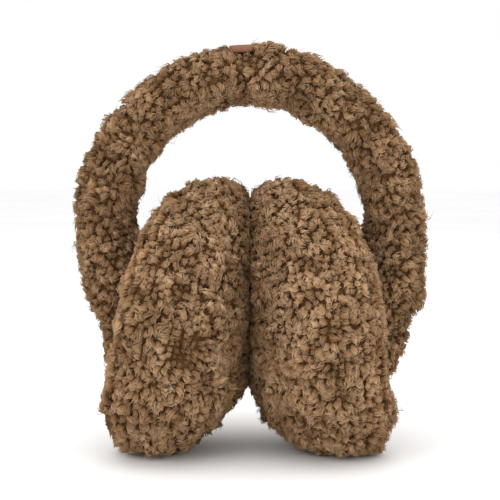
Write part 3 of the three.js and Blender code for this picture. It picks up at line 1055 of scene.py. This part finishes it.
# %% Headband
TAB_WIDTH = 10.5 * MM
TAB_LENGTH = 27 * MM
TAB_OFFSET = -3.4 * MM
TAB_SPREAD = (ARCH_RADIUS + SLEEVE_THICKNESS / 2) / ARCH_RADIUS
TAB_SIDES_COVERED = 0.8 * MM
TAB_ENDS_COVERED = 3.5 * MM
HIDDEN_DEPTH = 3 * MM
BAND_SHADE = 0.2


def sleeve_keep(roots, row, column):
    """Leaves out the curls under the tab and those inside the pads."""
    half_width = TAB_WIDTH * TAB_SPREAD / 2 - TAB_SIDES_COVERED
    at_crown = np.abs(roots[:, 0] - TAB_OFFSET * TAB_SPREAD) < half_width
    along = np.abs(roots[:, 1]) < TAB_LENGTH / 2 - TAB_ENDS_COVERED
    on_top = along & (roots[:, 2] > ARCH_HEIGHT + ARCH_RADIUS)
    inside = in_pad(roots, -1, HIDDEN_DEPTH) | in_pad(roots, 1, HIDDEN_DEPTH)
    return ~(at_crown & on_top) & ~inside


def as_they_lie(lines):
    """Leaves the lines alone: nothing presses the headband."""
    return lines


def band_shade(roots):
    """The same loss of tone all over."""
    return BAND_SHADE


add_fur("headband", "headband_sleeve", "band_fur", 11, sleeve_keep, as_they_lie, band_shade)

# %% [markdown]
# Each pad is a deep cushion that faces the ear and a thin cover outside it, sewn together at the rim. The
# curls that touch the floor or the other pad are pressed: their lines are held above the floor and on
# their own side of the middle. Between the two pads little light gets in, and the wool there is darker.
# Towards the floor the pads part, and the dark stripe follows the inner edge of each.

# %% Pads
FLOOR_CLEARANCE = 2.0 * MM
MIDDLE_CLEARANCE = 0.5 * MM
MIDDLE_SHADE = 0.6
MIDDLE_REACH = 8 * MM
PARTING_HEIGHT = 36 * MM
PARTING_STEP = 3 * MM
CRUSH_DEPTH = 2.2 * MM
SEAM_SHARE = 0.55


def pad_fit(side):
    """A function that holds lines above the floor and on one side of the middle."""
    return lambda lines: np.stack([
        side * np.maximum(side * lines[..., 0], MIDDLE_CLEARANCE),
        lines[..., 1],
        np.maximum(lines[..., 2], FLOOR_CLEARANCE),
    ], -1)


def inner_edge(grid, heights):
    """How far a pad stands off the middle at each height: the least |x| of its points near that height."""
    levels = np.arange(0, PARTING_HEIGHT, PARTING_STEP)
    far = np.abs(grid[..., 2] - levels[:, None, None]) > PARTING_STEP
    return np.interp(heights, levels, np.min(np.abs(grid[..., 0]) + far, axis=(1, 2)))


def middle_shade(grid):
    """A function for a loss of tone that fades as exp(-(gap / reach)^2) away from the pad's inner edge."""
    def shade(roots):
        gap = np.abs(roots[:, 0]) - inner_edge(grid, roots[:, 2])
        return MIDDLE_SHADE * np.exp(-((gap / MIDDLE_REACH) ** 2))

    return shade


def layer_keep(layer, side, free):
    """Leaves out the seam's curls, those crushed against the floor or the other pad, and those in an arm."""
    seam_row = layer["face_share"] + (1 - layer["face_share"]) * SEAM_SHARE

    def keep(roots, row, column):
        loose = read_grid(free, row, column)
        crushed = (loose[:, 2] < -CRUSH_DEPTH) | (side * loose[:, 0] < -CRUSH_DEPTH)
        on_seam = row / (free.shape[0] - 1) > seam_row
        return ~crushed & ~on_seam & ~in_arm(roots, HIDDEN_DEPTH)

    return keep


for side, side_name in ((-1, "left"), (1, "right")):
    for layer, kind, slot in ((CUSHION, "cushion", "pad_fur"), (COVER, "cover", "cover_fur")):
        key = side_name + "_" + kind
        node = side_name + ("_ear_cushion" if kind == "cushion" else "_outer_cover")
        rings, columns = GRIDS[key].shape[0] - 1, GRIDS[key].shape[1] - 1
        free = backing_grid(lambda v, a: layer_surface(layer, v, a, PAD_LIFT), rings, columns, side)
        seed = 20 + 10 * (side > 0) + len(kind)
        dark = middle_shade(GRIDS[side_name + "_cushion"])
        add_fur(key, node, slot, seed, layer_keep(layer, side, free), pad_fit(side), dark)

# %% [markdown]
# A small tab of rust-brown leather lies across the crown, bare, with rounded corners. It is a plate that
# follows the arch, with a soft edge. Its grain is a net of fine cells, and handling has darkened its edge.

# %% Leather tab
TAB_GAP = -0.5 * MM
TAB_THICKNESS = 1.4 * MM
TAB_SQUARENESS = 5
TAB_FACE_SHARE = 0.42
TAB_RINGS = 36
TAB_COLUMNS = 96


def tab_surface(v, angle):
    """A rounded plate laid over the crown, as rings from the middle of its top to the middle of its back.

    The outline is a rounded rectangle, |a|^n + |b|^n = 1 with n the squareness. Going out along the top
    the reach grows, round the edge a half circle leads down, and along the underside the reach shrinks.
    """
    edge = np.clip((v - TAB_FACE_SHARE) / (1 - 2 * TAB_FACE_SHARE), 0, 1) * np.pi
    top = np.clip(v / TAB_FACE_SHARE, 0, 1)
    under = np.clip((1 - v) / TAB_FACE_SHARE, 0, 1)
    flat = np.minimum(top, under)
    c, s = np.cos(angle), np.sin(angle)
    square = (np.abs(c) ** TAB_SQUARENESS + np.abs(s) ** TAB_SQUARENESS) ** (-1 / TAB_SQUARENESS)
    round_over = TAB_THICKNESS / 2
    along = TAB_OFFSET + square * c * (flat * (TAB_WIDTH / 2 - round_over) + round_over * np.sin(edge))
    across = square * s * (flat * (TAB_LENGTH / 2 - round_over) + round_over * np.sin(edge))
    height = TAB_GAP + round_over * (1 + np.cos(edge))
    return sleeve_surface(along, across / (SLEEVE_WIDTH / 2), height)


def leather_tab(name):
    """Rust-brown leather: cells for the grain, a cloudy tan, and a darker edge from the piece's UV map."""
    shader = Shader(name, Roughness=0.55, Specular_IOR_Level=0.25)
    place = shader.node("ShaderNodeTexCoord", output="Object")
    reach = shader.node("ShaderNodeUVMap", {"uv_map": "TabPlace"})
    rim = shader.node("ShaderNodeSeparateXYZ", values=[reach])
    grain = {"Vector": place, "Scale": 1500.0}
    cells = shader.node("ShaderNodeTexVoronoi", {"feature": "DISTANCE_TO_EDGE"}, grain)
    cloud = shader.node("ShaderNodeTexNoise", values={"Vector": place, "Scale": 260.0, "Detail": 4.0})
    worn = shader.node("ShaderNodeMapRange", values={0: rim, 1: 0.75, 2: 1.0, 3: 0.0, 4: 1.0})
    stops = [(0.25, linear(90, 50, 27)), (0.75, linear(124, 79, 48))]
    shade = shader.node("ShaderNodeValToRGB", {"stops": stops}, [cloud * 0.8 + cells * 1.2])
    darkened = {0: worn * 0.6, 6: shade, 7: (*linear(58, 33, 21), 1)}
    colour = shader.node("ShaderNodeMix", {"data_type": "RGBA"}, darkened, 2)
    bump = shader.node("ShaderNodeBump", values={"Strength": 0.35, "Distance": 0.0003, "Height": cells})
    return shader.finish(Base_Color=colour, Roughness=0.45 + worn * 0.2 + cloud * 0.15, Normal=bump)


tab_grid = surface_grid(tab_surface, TAB_RINGS, TAB_COLUMNS)
tab_mesh = closed_mesh("leather_tab", tab_grid)
rim_share = np.minimum(1, np.linspace(0, 2, TAB_RINGS + 1))
per_point = np.concatenate([[0], np.repeat(rim_share[1:-1], TAB_COLUMNS), [1]])
corner = np.zeros(len(tab_mesh.loops), dtype=np.int32)
tab_mesh.loops.foreach_get("vertex_index", corner)
layer = tab_mesh.uv_layers.new(name="TabPlace")
per_corner = per_point[corner].astype(np.float32)
layer.uv.foreach_set("vector", np.stack([per_corner, 0 * per_corner], -1).ravel())
tab = add_piece(tab_mesh, leather_tab("rust_leather"), "crown_tab", "tab_leather")
tab_box = [tab_grid.min((0, 1)), tab_grid.max((0, 1))]
print("tab box in mm:", [[round(c / MM, 1) for c in end] for end in tab_box])
